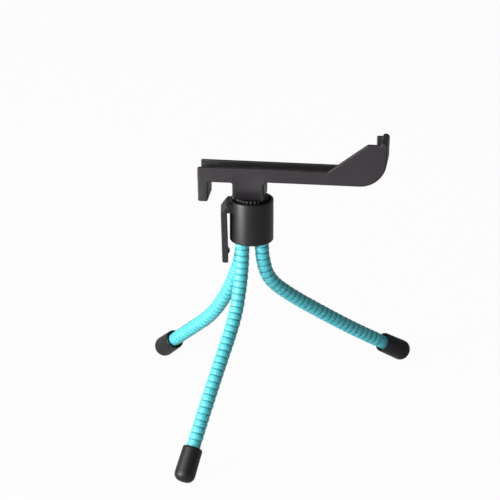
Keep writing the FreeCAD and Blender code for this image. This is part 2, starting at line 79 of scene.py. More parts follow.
# Finishes. Texture scales are per metre, and bump depths and the sink's places in millimetres.
class Link:
    # an output socket that takes part in plain maths
    def __init__(self, finish, socket):
        self.finish = finish
        self.socket = socket

    def maths(self, operation, first, second):
        return self.finish.add("ShaderNodeMath", {"operation": operation}, {0: first, 1: second})

    def __add__(self, other):
        return self.maths("ADD", self, other)

    def __sub__(self, other):
        return self.maths("SUBTRACT", self, other)

    def __rsub__(self, other):
        return self.maths("SUBTRACT", other, self)

    def __mul__(self, other):
        return self.maths("MULTIPLY", self, other)

    __radd__ = __add__
    __rmul__ = __mul__


class Finish:
    # one material; constants go on the shader's own sockets, and every other node comes from add
    def __init__(self, name, constants):
        self.material = bpy.data.materials.new(name)
        self.material.use_nodes = True
        self.tree = self.material.node_tree
        self.shader = self.tree.nodes["Principled BSDF"]
        for socket, value in constants.items():
            self.shader.inputs[socket].default_value = value

    def plug(self, target, value):
        if isinstance(value, Link):
            self.tree.links.new(value.socket, target)
        else:
            target.default_value = value

    def add(self, kind, settings, sockets, output=0):
        node = self.tree.nodes.new(kind)
        for key, value in settings.items():
            if key == "stops":
                ramp = node.color_ramp
                while len(ramp.elements) < len(value):
                    ramp.elements.new(1)
                for element, (position, grey) in zip(ramp.elements, value):
                    element.position = position
                    element.color = (grey, grey, grey, 1)
            else:
                setattr(node, key, value)
        for key, value in sockets.items():
            self.plug(node.inputs[key], value)
        return Link(self, node.outputs[output])

    def objectPlace(self):
        return self.add("ShaderNodeTexCoord", {}, {}, "Object")

    def noise(self, scale, detail=3, where=None):
        sockets = {"Vector": where or self.objectPlace(), "Scale": scale, "Detail": detail}
        return self.add("ShaderNodeTexNoise", {}, sockets, "Fac")

    def mix(self, factor, first, second):
        sockets = {0: factor, 6: first, 7: second}
        return self.add("ShaderNodeMix", {"data_type": "RGBA", "clamp_factor": True}, sockets, 2)

    def ramp(self, value, stops):
        return self.add("ShaderNodeValToRGB", {"stops": stops}, {"Fac": value})

    def along(self, place, axis, origin):
        # how far each point lies from the origin along the axis
        sockets = {0: place, 1: tuple(axis)}
        dot = self.add("ShaderNodeVectorMath", {"operation": "DOT_PRODUCT"}, sockets, "Value")
        return dot - float(origin @ axis)

    def limit(self, value, low, high):
        return self.add("ShaderNodeClamp", {}, {"Value": value, "Min": low, "Max": high})

    def bump(self, height, strength, depth):
        sockets = {"Strength": strength, "Distance": depth * mm, "Height": height}
        self.feed("Normal", self.add("ShaderNodeBump", {}, sockets))

    def feed(self, socket, value):
        self.plug(self.shader.inputs[socket], value)


def colour(tone):
    return (*tone, 1)


# In the enamel, deep is painted shade, laid into the grooves and the punched mark.
enamel = {
    "face": (0.065, 0.48, 0.54), "deep": (0.02, 0.215, 0.25), "pale": (0.11, 0.55, 0.61),
    "cloudScale": 2.2, "cloudEnds": (0.35, 0.75), "cloudShare": 0.5,
    "rough": 0.27, "cloudRough": 0.14, "grooveRough": 0.3, "coat": 0.12, "coatRough": 0.25,
}
mouldings = {
    "BlackMoulding": {"dark": (0.005, 0.0043, 0.0053), "light": (0.008, 0.0068, 0.008),
                      "rough": 0.34, "gloss": 0.4},
    "CradleMoulding": {"dark": (0.018, 0.0148, 0.0184), "light": (0.023, 0.019, 0.023),
                       "rough": 0.42, "gloss": 0.32,
                       "sink": {"middle": -0.75, "half": 6.5, "top": 30.5, "fade": 5, "depth": 0.4}},
    "ClipMoulding": {"dark": (0.0175, 0.016, 0.0196), "light": (0.0225, 0.02, 0.024),
                     "rough": 0.4, "gloss": 0.34},
}
rubbers = {
    "FootRubber": {"dark": (0.0042, 0.004, 0.0043), "light": (0.009, 0.0085, 0.009),
                   "rough": 0.39, "gloss": 0.32},
    "PadRubber": {"dark": (0.018, 0.018, 0.018), "light": (0.032, 0.032, 0.032),
                  "rough": 0.7, "gloss": 0.32},
}
metals = {
    "ScrewSteel": {"tone": (0.55, 0.55, 0.56), "rough": 0.25},
    "InsertBrass": {"tone": (0.68, 0.48, 0.2), "rough": 0.28},
    "CrimpAluminium": {"tone": (0.72, 0.72, 0.73), "rough": 0.3},
    "CoreWire": {"tone": (0.66, 0.66, 0.67), "rough": 0.35},
}
grains = {
    "enamel": {"fine": 9, "strength": 0.12, "depth": 0.1},
    "moulding": {"broad": 90, "fine": 2600, "strength": 0.08, "depth": 0.05, "rougher": 0.06, "sunk": 0.01},
    "rubber": {"broad": 160, "fine": 1800, "strength": 0.18, "depth": 0.08, "rougher": 0.13, "lumps": 0.5},
    "metal": {"fine": 900, "strength": 0.05, "depth": 0.05, "rougher": 0.15},
}


def makeEnamel(name, look):
    # glossy turquoise on the ribbed sheath, cloudy from rib to rib, with painted shade and more roughness in the
    # grooves and the punched mark
    grain = grains["enamel"]
    finish = Finish(name, {"Coat Weight": look["coat"], "Coat Roughness": look["coatRough"]})
    along = finish.add("ShaderNodeUVMap", {"uv_map": "alongLeg"}, {})
    groove = finish.add("ShaderNodeAttribute", {"attribute_name": "groove"}, {}, "Fac")
    cloudy = finish.noise(look["cloudScale"], 4, along)
    clouds = finish.ramp(cloudy, list(zip(look["cloudEnds"], (0, 1)))) * look["cloudShare"]
    face = finish.mix(clouds, colour(look["face"]), colour(look["pale"]))
    # painted shade: the deep colour where the groove mask is high, in the grooves and the punched mark
    finish.feed("Base Color", finish.mix(groove, face, colour(look["deep"])))
    finish.feed("Roughness", cloudy * look["cloudRough"] + groove * look["grooveRough"] + look["rough"])
    finish.bump(finish.noise(grain["fine"], 3, along), grain["strength"], grain["depth"])
    return finish.material


def sinkHeight(finish, sink):
    # height of a sunk face: the square of the distance from its middle, fading out towards its top
    place = finish.objectPlace()
    across = finish.along(place, headAxes[0], headOrigin) - sink["middle"] * mm
    height = finish.along(place, headUp, headOrigin)
    share = finish.limit(across * (1 / (sink["half"] * mm)), -1, 1)
    fade = finish.limit((sink["top"] * mm - height) * (1 / (sink["fade"] * mm)), 0, 1)
    return share * share * fade


def makeMoulding(name, look):
    # satin black plastic with a faint grain and a slow change in its sheen; the thick neck has sunk a little
    grain = grains["moulding"]
    finish = Finish(name, {"Specular IOR Level": look["gloss"]})
    broad = finish.noise(grain["broad"])
    fine = finish.noise(grain["fine"], 2)
    roughest = look["rough"] + grain["rougher"]
    finish.feed("Base Color", finish.mix(broad, colour(look["dark"]), colour(look["light"])))
    finish.feed("Roughness", finish.ramp(broad, [(0.3, look["rough"]), (0.7, roughest)]))
    if "sink" in look:
        finish.bump(sinkHeight(finish, look["sink"]) + fine * grain["sunk"], 1, look["sink"]["depth"])
    else:
        finish.bump(fine, grain["strength"], grain["depth"])
    return finish.material


def makeRubber(name, look):
    # matt black rubber, rougher in broad patches, with a soft grain
    grain = grains["rubber"]
    finish = Finish(name, {"Specular IOR Level": look["gloss"]})
    broad = finish.noise(grain["broad"], 4)
    fine = finish.noise(grain["fine"])
    roughest = look["rough"] + grain["rougher"]
    finish.feed("Base Color", finish.mix(broad, colour(look["dark"]), colour(look["light"])))
    finish.feed("Roughness", finish.ramp(broad, [(0.3, look["rough"]), (0.75, roughest)]))
    finish.bump(fine + broad * grain["lumps"], grain["strength"], grain["depth"])
    return finish.material


def makeMetal(name, look):
    # bare metal with fine scratches
    grain = grains["metal"]
    finish = Finish(name, {"Base Color": colour(look["tone"]), "Metallic": 1})
    scratches = finish.noise(grain["fine"])
    finish.feed("Roughness", scratches * grain["rougher"] + look["rough"])
    finish.bump(scratches, grain["strength"], grain["depth"])
    return finish.material


finishes = {"TurquoiseEnamel": makeEnamel("TurquoiseEnamel", enamel)}
for make, looks in ((makeMoulding, mouldings), (makeRubber, rubbers), (makeMetal, metals)):
    for name, look in looks.items():
        finishes[name] = make(name, look)

slotFinishes = {
    "turquoise_coating": "TurquoiseEnamel", "black_moulding": "BlackMoulding", "black_core": "BlackMoulding",
    "dark_nylon": "BlackMoulding", "pad_rubber": "PadRubber", "foot_rubber": "FootRubber",
    "screw_steel": "ScrewSteel", "insert_brass": "InsertBrass", "crimp_aluminium": "CrimpAluminium",
    "core_wire": "CoreWire",
}
for part in frame["record"]["subparts"]:
    for materialSlot in frame["nodes"][part["node"]].material_slots:
        materialSlot.material = finishes[slotFinishes[part["material_slot"]]]
print("finishes made:", len(finishes))


# Meshes and pieces. Shapes are worked out in the head's frame, in millimetres.
@contextlib.contextmanager
def editing(mesh):
    # the mesh as a bmesh, written back where the with block ends
    work = bmesh.new()
    work.from_mesh(mesh)
    yield work
    work.to_mesh(mesh)
    work.free()


def addToScene(name, data):
    holder = bpy.data.objects.new(name, data)
    bpy.context.scene.collection.objects.link(holder)
    return holder


def newMesh(name, points, faces):
    # points in the head's frame, and faces as lists of their numbers
    mesh = bpy.data.meshes.new(name)
    mesh.from_pydata(fromHead(points).reshape(-1, 3).tolist(), [], faces)
    return mesh


def newPiece(name, mesh, finish):
    # an object at the origin, with its finish
    mesh.materials.append(finishes[finish])
    piece = addToScene(name, mesh)
    return piece


def gridFaces(rows, columns):
    # quads between neighbouring rows of a grid of points, with the columns closed
    index = np.arange(rows * columns).reshape(rows, columns)
    beside = np.roll(index, -1, axis=1)
    return np.stack([index[:-1], beside[:-1], beside[1:], index[1:]], -1).reshape(-1, 4)


def mergeDoubles(work):
    # points nearer than a thousandth of a millimetre become one
    bmesh.ops.remove_doubles(work, verts=work.verts, dist=1e-6)


def gridMesh(name, points):
    # points[row, column] joined into quads; rows that shrink to a point are merged
    mesh = newMesh(name, points, gridFaces(*points.shape[:2]).tolist())
    with editing(mesh) as work:
        mergeDoubles(work)
    return mesh


def joined(mesh, other):
    # the first mesh with the other one's faces added
    with editing(mesh) as work:
        work.from_mesh(other)
    bpy.data.meshes.remove(other)
    return mesh


def creaseAt(mesh, degrees):
    # smooth shading, with sharp edges where two faces meet at more than the angle
    mesh.shade_smooth()
    mesh.set_sharp_from_angle(angle=math.radians(degrees))


def fullTurn(columns):
    # equal angles round one turn, without the last that would repeat the first
    return np.linspace(0, 2 * math.pi, columns, endpoint=False)


def turnedMesh(name, profile, origin, axis, side, columns):
    # profile rows of (radius, height) turned round the axis: centre + radius * (cos, sin) + height * axis
    angle = fullTurn(columns)
    around = np.cos(angle)[:, None] * side + np.sin(angle)[:, None] * np.cross(axis, side)
    radius, height = np.asarray(profile, float).T
    return gridMesh(name, origin + radius[:, None, None] * around + height[:, None, None] * axis)


def filleted(corners, step=6):
    # corners of (x, z, radius): each becomes an arc of its radius that is tangent to both of its sides,
    # with its centre at corner + bisector * radius / sin(half the angle), and step degrees between points
    corners = np.array(corners, float)
    points = [corners[0, :2]]
    for before, corner, after in zip(corners[:-2], corners[1:-1], corners[2:]):
        place, radius = corner[:2], corner[2]
        inward, outward = before[:2] - place, after[:2] - place
        inward, outward = inward / np.hypot(*inward), outward / np.hypot(*outward)
        half = math.acos(np.clip(inward @ outward, -1, 1)) / 2
        sweep = math.pi / 2 - half
        if radius == 0 or sweep < 0.001:
            points.append(place)
            continue
        bisector = (inward + outward) / np.hypot(*(inward + outward))
        centre = place + bisector * radius / math.sin(half)
        across = np.array([-bisector[1], bisector[0]])
        across = across if across @ inward > 0 else -across
        turn = np.linspace(sweep, -sweep, max(3, math.ceil(2 * math.degrees(sweep) / step) + 1))
        points += list(centre + radius * (-np.cos(turn)[:, None] * bisector + np.sin(turn)[:, None] * across))
    points.append(corners[-1, :2])
    return np.array(points)


def solidFromOutline(name, outline, low, high, turned=np.array):
    # a closed outline in x and z carried along y, from low to high
    count = len(outline)
    rows = [turned(np.column_stack([outline[:, 0], np.full(count, y), outline[:, 1]])) for y in (low, high)]
    faces = gridFaces(2, count).tolist() + [list(range(count)), list(range(2 * count - 1, count - 1, -1))]
    mesh = newMesh(name, np.vstack(rows), faces)
    with editing(mesh) as work:
        mergeDoubles(work)
        bmesh.ops.recalc_face_normals(work, faces=work.faces)
    return mesh


def weighEdges(mesh, weightOf, degrees=25):
    # bevel width in millimetres for each edge sharper than the limit, from its middle in the head's frame
    work = bmesh.new()
    work.from_mesh(mesh)
    work.edges.ensure_lookup_table()
    weights = np.zeros(len(work.edges), np.float32)
    for edge in work.edges:
        if len(edge.link_faces) == 2 and edge.calc_face_angle() > math.radians(degrees):
            middle = (edge.verts[0].co + edge.verts[1].co) / 2
            weights[edge.index] = weightOf((np.array(middle) - headOrigin) @ headAxes.T / mm)
    work.free()
    mesh.attributes.new("bevel_weight_edge", "FLOAT", "EDGE").data.foreach_set("value", weights)


def roundEdges(piece, segments=4):
    # each weighed edge becomes a round of its weight times one millimetre
    bevel = piece.modifiers.new("RoundedEdges", "BEVEL")
    bevel.limit_method = "WEIGHT"
    bevel.width = mm
    bevel.segments = segments
    bevel.use_clamp_overlap = False
    bevel.harden_normals = True
    piece.data.shade_smooth()


# The cradle: heights and lengths in the head's frame, and the radii of its corners.
cradle = {
    "left": -21.3, "right": 54.6, "shelfBottom": 26.7, "armBottom": 25.95, "shelfTop": 28.7,
    "plateLeft": 32.15, "plateTop": 32.6, "plateCrest": 8, "plateRight": 32.3, "plateArch": 400,
    "wallTop": 45.6, "wallInside": 52.2, "draft": 0.4, "draftFrom": 37.7, "corner": 11, "innerCorner": 8.8,
    "gussetTop": 44.6, "gussetLeft": 31.1, "gussetRight": 47.1, "gussetRound": 1.6, "gussetFillet": 1.5,
    "lipTop": 31.5, "lipInside": 49.8, "lipRound": 0.6, "lipFillet": 6.2,
    "footRight": -17, "footBottom": 17.8, "footLean": 0.3, "footFillet": 0.9,
    "neckLeft": -7.2, "neckRight": 5.7, "neckFillet": 1.8,
    "front": -6.2, "plateBack": -4.7, "lipFront": 4.9, "back": 6.2,
    "boreRadius": 4.25, "boreTop": 26.4, "boreColumns": 48,
    "round": 0.7, "wallRound": 1.4, "edge": 0.6, "neckEdge": 1.1, "edgeEase": 1.2,
}


def cradlePaths():
    # three flat paths that all run from the joint at the gusset's end to the shelf's left end,
    # and the outer one that goes back round the foot, neck, corner and end wall
    c = cradle
    small = c["round"]
    start = (c["left"], c["shelfTop"], 0)
    slant = c["draft"] / 2 * (c["gussetTop"] - c["draftFrom"]) / (c["wallTop"] - c["draftFrom"])
    joint = (c["wallInside"] + slant, c["gussetTop"], 0)
    outer = filleted([
        start, (c["left"] + c["footLean"], c["footBottom"], small), (c["footRight"], c["footBottom"], small),
        (c["footRight"], c["armBottom"], c["footFillet"]), (c["neckLeft"], c["armBottom"], small),
        (c["neckLeft"], neckBottom, 0), (c["neckRight"], neckBottom, 0),
        (c["neckRight"], c["shelfBottom"], c["neckFillet"]), (c["right"], c["shelfBottom"], c["corner"]),
        (c["right"] + c["draft"], c["wallTop"], c["wallRound"]),
        (c["wallInside"] + c["draft"] / 2, c["wallTop"], small), joint], 4)
    inner = filleted([joint, (c["wallInside"], c["shelfTop"], c["innerCorner"]), start], 4)
    plate = filleted([
        joint, (c["gussetRight"], c["gussetTop"], c["gussetRound"]),
        (c["gussetLeft"], c["plateRight"], c["gussetFillet"]),
        (c["plateCrest"], c["plateTop"], c["plateArch"]), (c["left"], c["plateLeft"], small), start])
    lip = filleted([
        joint, (c["lipInside"], c["gussetTop"], c["lipRound"]), (c["lipInside"], c["lipTop"], c["lipFillet"]),
        (c["left"], c["lipTop"], small), start])
    return outer, inner, plate, lip


def cradleMesh(name):
    # four rows in y share the paths' points: the plate stands in the front layer, the lip in the back one
    c = cradle
    outer, inner, plate, lip = cradlePaths()
    vertices, faces = [], []

    def row(path, y):
        first = len(vertices)
        vertices.extend(np.column_stack([path[:, 0], np.full(len(path), y), path[:, 1]]).tolist())
        return list(range(first, first + len(path)))

    def inside(path, y, outside):
        return [outside[-1]] + row(path[1:-1], y) + [outside[0]]

    outerRows = [row(outer, y) for y in (c["front"], c["plateBack"], c["lipFront"], c["back"])]
    plateRows = [inside(plate, c["front"], outerRows[0]), inside(plate, c["plateBack"], outerRows[1])]
    shelfRows = [inside(inner, c["plateBack"], outerRows[1]), inside(inner, c["lipFront"], outerRows[2])]
    lipRows = [inside(lip, c["lipFront"], outerRows[2]), inside(lip, c["back"], outerRows[3])]
    neckStart = int(np.argmin(np.hypot(outer[:, 0] - c["neckLeft"], outer[:, 1] - neckBottom)))
    for rows in (outerRows, plateRows, shelfRows, lipRows):
        for low, high in zip(rows[:-1], rows[1:]):
            for i in range(len(low) - 1):
                if rows is not outerRows or i != neckStart:
                    faces.append((low[i], low[i + 1], high[i + 1], high[i]))
    faces.append(outerRows[0][:-1] + plateRows[0][:-1])
    faces.append(shelfRows[0] + plateRows[1][-2:0:-1])
    faces.append(shelfRows[1] + lipRows[0][-2:0:-1])
    faces.append(outerRows[3][:-1] + lipRows[1][:-1])
    mesh = newMesh(name, vertices, faces)

    # the bore for the insert, open at the neck's lower end, whose face is two halves round the circle
    columns = c["boreColumns"]
    half = columns // 2
    angle = fullTurn(columns)
    circle = c["boreRadius"] * np.column_stack([np.cos(angle), np.sin(angle), 0 * angle])
    with editing(mesh) as work:
        low, high = [[work.verts.new(point) for point in fromHead(circle + z * upward)]
                     for z in (neckBottom, c["boreTop"])]
        work.verts.ensure_lookup_table()
        left = [work.verts[points[neckStart]] for points in outerRows]
        right = [work.verts[points[neckStart + 1]] for points in outerRows]
        work.faces.new(low[half:] + low[:1] + right[2::-1] + left[:3])
        work.faces.new(low[:half + 1] + [left[2], left[3], right[3], right[2]])
        for i in range(columns):
            work.faces.new((low[i], low[i - 1], high[i - 1], high[i]))
        work.faces.new(high)
        bmesh.ops.recalc_face_normals(work, faces=work.faces)
    return mesh


def cradleWeight(place):
    # the neck's right front edge is rounder, and eases into the shelf's small edge along the fillet
    c, near = cradle, 0.01
    x, y, z = place
    past = x - c["neckRight"]
    if z < neckBottom + near:
        return 0
    if abs(y - c["front"]) < near and -near < past < c["neckFillet"] and z < c["shelfBottom"]:
        return np.interp(past, [0, c["edgeEase"]], [c["neckEdge"], c["edge"]])
    return c["edge"]


def makeCradle():
    # one moulding: foot, arm, neck, shelf, tall plate with its gusset, end wall and low lip
    mesh = cradleMesh("cradle_moulding")
    weighEdges(mesh, cradleWeight)
    piece = newPiece("cradle_moulding", mesh, "CradleMoulding")
    roundEdges(piece)
    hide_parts("cradle_body")
    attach(piece, "cradle")
    print("cradle made")


# Rubber pads: the floor's strip runs along x and the wall's strip up z, with base and face across that.
pads = {"front": -4.1, "back": 4.3, "corner": 0.3, "edge": 0.06}
floorPad = {"from": -19.3, "to": 43.6, "base": 28.7, "face": 29.5,
            "grooves": np.arange(-16.3, 41.6, 3.1), "half": 0.3, "deep": 0.25, "round": 0.1}
wallPad = {"from": 38, "to": 41.4, "base": 52.2, "face": 51.4,
           "grooves": (38.9, 39.7, 40.5), "half": 0.2, "deep": 0.2, "round": 0.08}


def padOutline(pad):
    # up from the base, along the face with its cross grooves as shallow vees, and down again
    face, half, soft = pad["face"], pad["half"], pad["round"]
    floor = face + math.copysign(pad["deep"], pad["base"] - face)
    corners = [(pad["from"], pad["base"], 0), (pad["from"], face, pads["corner"])]
    for middle in pad["grooves"]:
        corners += [(middle - half, face, soft), (middle, floor, soft), (middle + half, face, soft)]
    corners += [(pad["to"], face, pads["corner"]), (pad["to"], pad["base"], 0)]
    return filleted(corners, 15)


def makePad(name, outline, node):
    # the outline carried across the channel
    mesh = solidFromOutline(name, outline, pads["front"], pads["back"])
    weighEdges(mesh, lambda place: pads["edge"])
    piece = newPiece(name, mesh, "PadRubber")
    roundEdges(piece, 2)
    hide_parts(node)
    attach(piece, "cradle")


makeCradle()
makePad("floor_liner", padOutline(floorPad), "floor_pad")
makePad("end_liner", padOutline(wallPad)[:, ::-1], "end_pad")
print("pads made")


# Hub, lug, lock ring, stud and belt clip.
hub = {
    "radius": 8.85, "height": 17.6, "bore": 7.95, "seam": 8.3, "bottomEdge": 0.44, "rimEdge": 0.42,
    "boreEdge": 0.12, "cup": 7.85, "cupFloor": 14.8, "cupUnder": 14.0, "cupEdge": 0.3, "cupHole": 5.7,
    "holeEdge": 0.1, "columns": 160,
}
lug = {
    "bottom": 12.9, "top": 16.6, "halfWidth": 5, "seat": 1.15, "shell": 8.35, "chamfer": 0.3, "shelf": 0.9,
}
ring = {
    "bottom": 15.6, "bandTop": 17.1, "top": 18.6, "radius": 6.9, "bore": 3.225, "teeth": 26, "depth": 0.35,
    "toothColumns": 10, "steep": 1.4, "seam": 1.5, "grooveDepth": 0.3, "grooveLow": 0.08,
    "grooveHigh": 0.3, "knurlLow": 0.2, "knurlDepth": 0.6,
}
stud = {
    "radius": 3.175, "root": 2.62, "pitch": 1.27, "threadFrom": 14.2, "threadTo": 24.7, "top": 25.1,
    "tip": 2.42, "fade": 0.8, "flank": 2.6, "floor": 0.15, "flange": 5.4, "flangeLow": 7.4,
    "flangeHigh": 10.6, "columns": 64, "turnRows": 14, "taperRows": 8, "taper": 0.9,
}
clip = {
    "pivot": (-10, 15), "bead": 1.1, "outer": -12.5, "inner": -10.05, "elbow": 12.9, "step": 0.6,
    "lean": 0.6, "bottom": -8.6, "nub": -5, "nubDepth": 0.8, "nubReach": 1.2, "nubRoot": 0.8,
    "nubHalf": 1.5, "halfWidth": 5, "edge": 0.3, "innerEdge": 0.12, "edgeFrom": 4,
}


def makeHub():
    # a profile of (radius, height) turned round the hub's axis: a tube with a cup at its top, and the lug
    h = hub
    seam = (h["seam"], 0, 0)
    profile = filleted([
        seam, (h["radius"], 0, h["bottomEdge"]), (h["radius"], h["height"], h["rimEdge"]),
        (h["cup"], h["height"], h["rimEdge"]), (h["cup"], h["cupFloor"], h["cupEdge"]),
        (h["cupHole"], h["cupFloor"], h["holeEdge"]), (h["cupHole"], h["cupUnder"], 0),
        (h["bore"], h["cupUnder"], 0), (h["bore"], 0, h["boreEdge"]), seam], 10)
    shell = turnedMesh("hub_casing", profile, np.zeros(3), upward, rightward, h["columns"])
    mesh = joined(shell, makeLug())
    creaseAt(mesh, 40)
    piece = newPiece("hub_casing", mesh, "BlackMoulding")
    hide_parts("hub_shell")
    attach(piece, "hub")


def pivotArc(radius, start, end, count):
    # (x, z) on a circle round the clip's pivot
    px, pz = clip["pivot"]
    return [(px + radius * math.cos(a), pz + radius * math.sin(a))
            for a in np.radians(np.linspace(start, end, count))]


def makeLug():
    # an outline in x and z carried along y: its left side is hollowed for the clip's bead, and its right
    # side, given as None, follows the round shell: x = -square root of (shell squared - y squared)
    low, high, chamfer, shelf = lug["bottom"], lug["top"], lug["chamfer"], lug["shelf"]
    px = clip["pivot"][0]
    outline = [(px, low + chamfer), (px + chamfer, low), (px + shelf, low), (None, low), (None, high),
               (px + shelf, high), (px + chamfer, high), (px, high - chamfer)]
    outline += pivotArc(lug["seat"], 90, -90, 15)
    y = np.linspace(-lug["halfWidth"], lug["halfWidth"], 21)
    shell = -np.sqrt(lug["shell"] ** 2 - y ** 2)
    rows = [np.column_stack([shell if x is None else np.full(len(y), x), y, np.full(len(y), z)])
            for x, z in outline]
    mesh = gridMesh("lug", clipSide(np.array(rows).transpose(1, 0, 2)))
    with editing(mesh) as work:
        bmesh.ops.holes_fill(work, edges=work.edges)
        bmesh.ops.recalc_face_normals(work, faces=work.faces)
    return mesh


def makeRing():
    # the radius falls by depth times a wave of the angle, steep * cos held within 1, above the groove alone
    r = ring
    angle = fullTurn(r["teeth"] * r["toothColumns"])
    seam = (r["bore"] + r["seam"], r["bottom"], 0)
    profile = filleted([
        seam, (r["radius"], r["bottom"], 0.25), (r["radius"], r["bandTop"], 0.1),
        (r["radius"] - r["grooveDepth"], r["bandTop"] + r["grooveLow"], 0.05),
        (r["radius"], r["bandTop"] + r["grooveHigh"], 0.1), (r["radius"], r["top"], 0.3),
        (r["bore"], r["top"], 0.2), (r["bore"], r["bottom"], 0.2), seam], 15)
    radius, height = profile.T
    wave = np.clip(r["steep"] * np.cos(r["teeth"] * angle), -1, 1) * 0.5 - 0.5
    knurled = (height > r["bandTop"] + r["knurlLow"]) & (radius > r["radius"] - r["knurlDepth"])
    reach = radius[:, None] + r["depth"] * knurled[:, None] * wave
    points = np.stack([reach * np.cos(angle), reach * np.sin(angle), height[:, None] + 0 * angle], -1)
    mesh = gridMesh("lock_ring_knurled", points)
    creaseAt(mesh, 50)
    piece = newPiece("lock_ring_knurled", mesh, "BlackMoulding")
    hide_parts("lock_ring")
    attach(piece, "ring")


def makeStud():
    # the thread's radius is a trapezium wave of height / pitch minus the turn, fading out at both ends
    s = stud
    height = np.arange(s["threadFrom"], s["threadTo"], s["pitch"] / s["turnRows"])
    share = fullTurn(s["columns"]) / (2 * math.pi)
    phase = np.mod(height[:, None] / s["pitch"] - share, 1)
    wave = np.clip(np.abs(phase - 0.5) * s["flank"] - s["floor"], 0, 1)
    fade = np.clip(np.minimum(height - s["threadFrom"], s["threadTo"] - height) / s["fade"], 0, 1)
    thread = s["radius"] - (s["radius"] - s["root"]) * (1 - wave) * fade[:, None]
    thread[-s["taperRows"]:] *= np.linspace(1, s["taper"], s["taperRows"])[:, None]
    below = [(0, s["flangeLow"]), (s["flange"], s["flangeLow"]), (s["flange"], s["flangeHigh"]),
             (s["radius"], s["flangeHigh"])]
    above = [(s["tip"], s["top"]), (0, s["top"])]

    def plainRings(rows):
        return np.repeat([[radius] for radius, z in rows], s["columns"], axis=1)

    heights = np.concatenate([[z for radius, z in below], height, [z for radius, z in above]])
    radii = np.vstack([plainRings(below), thread, plainRings(above)])
    angle = fullTurn(s["columns"])
    points = np.stack([radii * np.cos(angle), radii * np.sin(angle), heights[:, None] + 0 * angle], -1)
    mesh = gridMesh("stud_threaded", points)
    creaseAt(mesh, 60)
    piece = newPiece("stud_threaded", mesh, "ScrewSteel")
    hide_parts("mounting_stud")
    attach(piece, "hub")


def clipWeight(place):
    # the edges along the clip's two sides are rounder than those between them
    across = place[1] * math.cos(clipTurn) - place[0] * math.sin(clipTurn)
    return clip["edge"] if abs(across) > clip["edgeFrom"] else clip["innerEdge"]


def makeClip():
    # a flat arm that hangs from a round bead, with a small wedge on its inner face near the lower end
    c = clip
    bead = pivotArc(c["bead"], 108, -105, 24)
    arm = filleted([
        (*bead[-1], 0), (c["inner"], c["elbow"] - c["step"], 0.5), (c["inner"] + c["lean"], c["bottom"], 0.5),
        (c["outer"] + c["lean"], c["bottom"], 0.8), (c["outer"], c["elbow"], 0.9), (*bead[0], 0)], 8)
    outline = np.vstack([bead, arm[1:-1]])
    mesh = solidFromOutline("belt_clip", outline, -c["halfWidth"], c["halfWidth"], clipSide)
    face = c["inner"] + c["lean"] * (c["elbow"] - c["nub"]) / (c["elbow"] - c["bottom"])
    low, high = c["nub"] - c["nubReach"], c["nub"] + c["nubReach"]
    wedge = filleted([
        (face - c["nubRoot"], low, 0), (face - 0.1, low, 0.2), (face + c["nubDepth"], c["nub"], 0.35),
        (face - 0.1, high, 0.2), (face - c["nubRoot"], high, 0)], 8)
    joined(mesh, solidFromOutline("nub", wedge, -c["nubHalf"], c["nubHalf"], clipSide))
    weighEdges(mesh, clipWeight)
    piece = newPiece("belt_clip", mesh, "ClipMoulding")
    roundEdges(piece)
    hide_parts("pocket_clip")
    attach(piece, "clip")


makeHub()
makeRing()
makeStud()
makeClip()
print("hub, ring, stud and clip made")


# Legs: exit is where one leaves the hub's lower end, slopes are each run's degrees from straight down,
# and mark is the punched mark's angle round the sheath.
legs = {
    "front": {"exit": (-3.36, -3.53), "heading": -110.8, "mark": 100,
              "slopes": (0, 8.9, 19.3, 41.2, 40.5, 37.7)},
    "right": {"exit": (4.17, 0.51), "heading": 38.1, "mark": -145,
              "slopes": (0, 14.8, 47.9, 54.0, 55.0, 58.2)},
    "left": {"exit": (-4.15, 2.61), "heading": 129.4, "mark": -60,
             "slopes": (0, 24.6, 30.3, 40.7, 54.0, 53.5)},
}
sheath = {
    "runs": (7.33, 11, 13.75, 19.25, 22, 29.47), "lead": 4, "bendPoints": 90, "end": 4.0, "zoneMargin": 0.9,
    "pitch": 2.75, "columns": 56, "bore": 2.1, "boreColumns": 28, "boreStep": 1.4, "rimReach": 3.3,
    "ring": ((0, 2.58), (0.04, 2.6), (0.09, 2.71), (0.15, 2.79), (0.24, 2.85), (0.38, 2.89), (0.54, 2.9),
             (0.7, 2.885), (0.81, 2.845), (0.89, 2.78), (0.94, 2.7), (0.98, 2.61)),
    "uneven": 0.012, "unevenRate": 2.1, "grooveTop": 2.85, "grooveDepth": 0.25, "around": 6.4,
    "bandStart": 17.3, "bandEase": 0.25, "bandRadius": 2.8,
    "markReach": 16, "markSize": 0.42, "markDepth": 0.3,
}
wire = {"radius": 1.1, "columns": 20, "step": 0.7, "top": 2.5}


